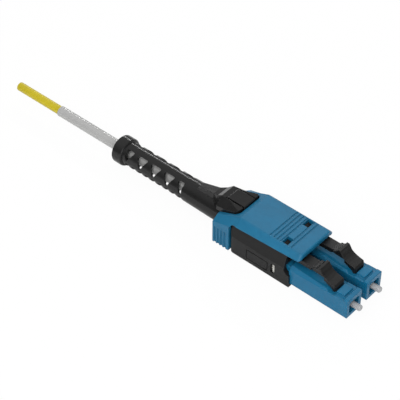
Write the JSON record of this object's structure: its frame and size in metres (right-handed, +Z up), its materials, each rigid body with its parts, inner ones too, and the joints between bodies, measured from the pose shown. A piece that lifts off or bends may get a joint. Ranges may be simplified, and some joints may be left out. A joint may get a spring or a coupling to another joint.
{
  "type": "lc fibre connector",
  "caption": "Duplex fibre optic plug with square noses, bending latches, a sliding cover that is pulled to release it and a lattice strain relief boot on one cable.",
  "frame": {"origin": "midway between the two ferrule axes, in the plane of the plug noses", "axes": "+X out of the noses along the ferrules, +Y across to the second plug, +Z up through the latches"},
  "size_m": [0.0962, 0.0118, 0.0093],
  "materials": {
    "plug_blue": "satin moulded plastic",
    "cover_blue": "satin moulded plastic",
    "frame_black": "fine matt moulded plastic",
    "latch_black": "fine matt moulded plastic",
    "boot_black": "matt elastomer",
    "ceramic_white": "polished zirconia",
    "nickel": "turned, nickel plated",
    "spring_steel": "drawn wire",
    "natural_plastic": "natural moulded plastic",
    "sleeve_white": "glossy extruded tube",
    "jacket_yellow": "extruded cable jacket",
    "fibre_coat": "coated glass fibre"
  },
  "bodies": {
    "housing": {"frame_base": "frame_black", "frame_lid": "frame_black", "plug_housing_near": "plug_blue", "plug_housing_far": "plug_blue", "plug_retainer": "natural_plastic", "rear_stop_near": "nickel", "rear_stop_far": "nickel", "crimp_post": "nickel", "crimp_ring": "nickel", "sleeve_tube": "sleeve_white", "cable_jacket": "jacket_yellow", "fibre_near": "fibre_coat", "fibre_far": "fibre_coat"},
    "slider": {"top_cover": "cover_blue", "boot": "boot_black"},
    "near_latch": {"latch_near": "latch_black"},
    "far_latch": {"latch_far": "latch_black"},
    "near_ferrule": {"ferrule_near": "ceramic_white", "flange_near": "nickel", "spring_near": "spring_steel"},
    "far_ferrule": {"ferrule_far": "ceramic_white", "flange_far": "nickel", "spring_far": "spring_steel"}
  },
  "joints": [
    {"name": "cover_slide", "type": "slide", "parent": "housing", "child": "slider", "axis": [-1, 0, 0], "range_m": [0, 0.0022], "stiffness_N_per_m": 1500},
    {"name": "near_latch_hinge", "type": "hinge", "parent": "housing", "child": "near_latch", "pos_m": [-0.00385, -0.00313, 0.00235], "axis": [0, -1, 0], "range_deg": [0, 5]},
    {"name": "far_latch_hinge", "type": "hinge", "parent": "housing", "child": "far_latch", "pos_m": [-0.00385, 0.00313, 0.00235], "axis": [0, -1, 0], "range_deg": [0, 5]},
    {"name": "near_ferrule_slide", "type": "slide", "parent": "housing", "child": "near_ferrule", "axis": [-1, 0, 0], "range_m": [0, 0.0008], "stiffness_N_per_m": 600, "deforming": ["spring_near"]},
    {"name": "far_ferrule_slide", "type": "slide", "parent": "housing", "child": "far_ferrule", "axis": [-1, 0, 0], "range_m": [0, 0.0008], "stiffness_N_per_m": 600, "deforming": ["spring_far"]}
  ],
  "couplings": [
    {"joint": "near_latch_hinge", "follows": "cover_slide", "rad_per_m": 33.3},
    {"joint": "far_latch_hinge", "follows": "cover_slide", "rad_per_m": 33.3}
  ]
}
